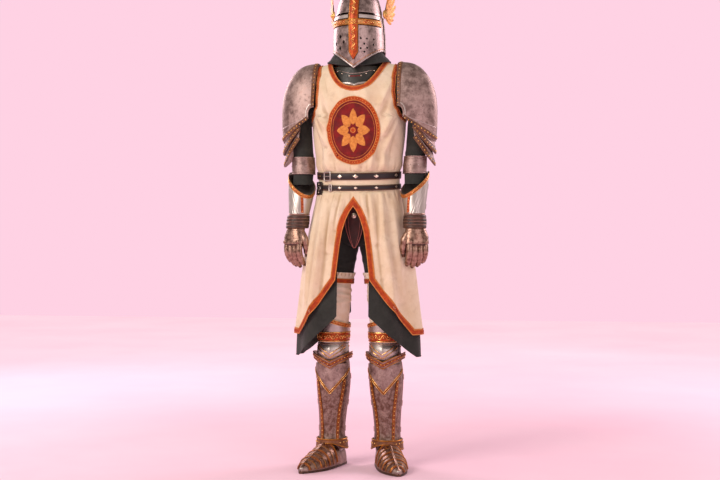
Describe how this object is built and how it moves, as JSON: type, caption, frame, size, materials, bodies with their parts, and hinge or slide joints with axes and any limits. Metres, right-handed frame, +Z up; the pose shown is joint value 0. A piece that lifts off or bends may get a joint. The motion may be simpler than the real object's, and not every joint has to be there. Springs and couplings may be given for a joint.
{
  "type": "suit of plate armour",
  "caption": "Hollow knight's armour standing by itself: closed great helm with side wings, belted cloth surcoat with a split skirt, plate arms and legs, pointed sabatons.",
  "frame": {"origin": "on the ground, under the middle of the whole suit's box", "axes": "+Z up, -Y the way the suit faces, +X towards the suit's own left arm"},
  "size_m": [0.5998, 0.3824, 1.8601],
  "materials": {
    "steel": "hammered plate, mottled and lightly aged",
    "bright_steel": "polished plate, worn warm silver",
    "gilt": "aged gilt, dark in the hollows",
    "ornament": "orange enamel with gold relief",
    "cream_cloth": "matt woven wool",
    "braid": "woven braid with gold thread",
    "dark_cloth": "napped charcoal wool",
    "red_cloth": "dark red felt",
    "leather": "brown strap leather, worn",
    "belt_leather": "near black belt leather, satin"
  },
  "bodies": {
    "suit": {"coif": "dark_cloth", "gorget": "leather", "surcoat_front": "cream_cloth", "surcoat_back": "cream_cloth", "neck_braid": "braid", "armhole_braid_left": "braid", "armhole_braid_right": "braid", "hem_braid_front": "braid", "hem_braid_back": "braid", "badge": "red_cloth", "under_skirt_left": "dark_cloth", "under_skirt_right": "dark_cloth", "trousers": "dark_cloth", "loin_flap": "red_cloth", "belt_upper": "belt_leather", "belt_lower": "belt_leather", "buckle_upper": "bright_steel", "buckle_lower": "bright_steel", "belt_tab": "belt_leather", "sleeve_left": "dark_cloth", "sleeve_right": "dark_cloth", "pauldron_left": "steel", "pauldron_right": "steel", "lame_upper_left": "steel", "lame_upper_right": "steel", "lame_lower_left": "steel", "lame_lower_right": "steel", "rerebrace_left": "steel", "rerebrace_right": "steel", "vambrace_left": "bright_steel", "vambrace_right": "bright_steel", "wrist_band_left": "leather", "wrist_band_right": "leather", "gauntlet_left": "bright_steel", "gauntlet_right": "bright_steel", "thigh_cuff_left": "braid", "thigh_cuff_right": "braid", "hose_left": "cream_cloth", "hose_right": "cream_cloth", "cuisse_left": "bright_steel", "cuisse_right": "bright_steel", "poleyn_left": "bright_steel", "poleyn_right": "bright_steel", "greave_collar_left": "steel", "greave_collar_right": "steel", "greave_left": "steel", "greave_right": "steel", "ankle_strap_left": "leather", "ankle_strap_right": "leather", "sabaton_left": "steel", "sabaton_right": "steel"},
    "helm": {"helm_face": "steel", "helm_rear": "steel", "helm_crown": "steel", "helm_cross": "ornament", "brow_bar_left": "bright_steel", "brow_bar_right": "bright_steel", "wing_left": "gilt", "wing_right": "gilt"}
  },
  "joints": [
    {"name": "helm_lift", "type": "slide", "parent": "suit", "child": "helm", "axis": [0, 0, 1], "range_m": [0, 0.35]}
  ]
}
